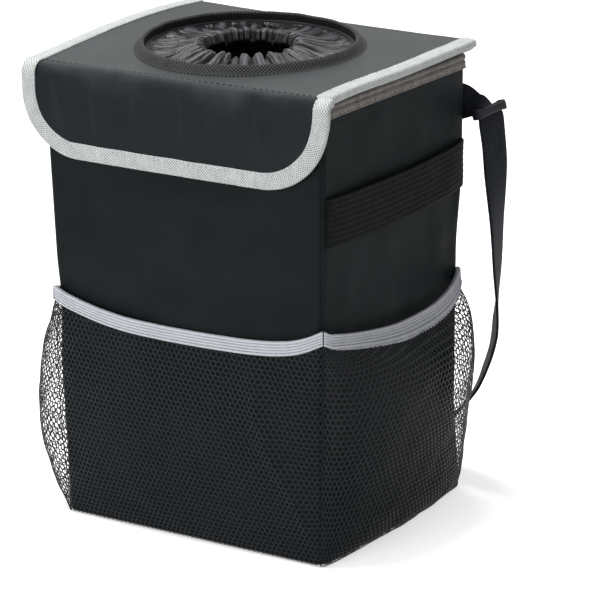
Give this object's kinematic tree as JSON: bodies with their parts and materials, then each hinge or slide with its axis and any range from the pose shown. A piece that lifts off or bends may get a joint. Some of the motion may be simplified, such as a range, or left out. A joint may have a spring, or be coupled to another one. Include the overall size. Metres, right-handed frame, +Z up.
{
  "type": "car trash bin",
  "caption": "Soft box-shaped car bin with a hinged lid, front flap, elastic throw-in hole, net pockets on three sides and a hanging strap.",
  "frame": {"origin": "centre of the box's base on the floor", "axes": "+X to the bin's right side seen from the front, -Y to the front with the flap, +Z up"},
  "size_m": [0.2616, 0.1922, 0.2802],
  "materials": {
    "black_fabric": "matte woven cloth",
    "lid_fabric": "padded woven cloth",
    "grey_binding": "ribbed woven tape",
    "rim_tape": "woven tape",
    "black_binding": "ribbed woven tape",
    "collar_cloth": "smooth gathered cloth",
    "net": "knitted net",
    "elastic_trim": "ribbed elastic",
    "webbing": "ribbed webbing",
    "lining": "coated cloth",
    "board": "plain sheet",
    "slider": "moulded",
    "elastic": "covered elastic",
    "hook_loop": "hook and loop"
  },
  "bodies": {
    "bin": {"front_panel": "black_fabric", "back_panel": "black_fabric", "left_panel": "black_fabric", "right_panel": "black_fabric", "base_panel": "black_fabric", "base_board": "board", "liner": "lining", "rim_binding": "rim_tape", "front_pocket_mesh": "net", "left_pocket_mesh": "net", "right_pocket_mesh": "net", "front_pocket_trim": "elastic_trim", "left_pocket_trim": "elastic_trim", "right_pocket_trim": "elastic_trim", "right_side_band": "webbing", "front_loop_strip": "hook_loop", "lid_hinge_tape": "lid_fabric", "hanging_strap": "webbing", "strap_slider": "slider"},
    "lid": {"lid_panel": "lid_fabric", "lid_binding_left": "grey_binding", "lid_binding_right": "grey_binding", "opening_binding": "black_binding", "elastic_collar": "collar_cloth", "collar_elastic": "elastic"},
    "flap": {"flap_panel": "lid_fabric", "flap_binding": "grey_binding", "flap_hook_strip": "hook_loop"}
  },
  "joints": [
    {"name": "lid_hinge", "type": "hinge", "parent": "bin", "child": "lid", "pos_m": [0, 0.0805, 0.2708], "axis": [-1, 0, 0], "range_deg": [0, 110]},
    {"name": "flap_fold", "type": "hinge", "parent": "lid", "child": "flap", "pos_m": [0, -0.0779, 0.2686], "axis": [-1, 0, 0], "range_deg": [0, 90]}
  ]
}
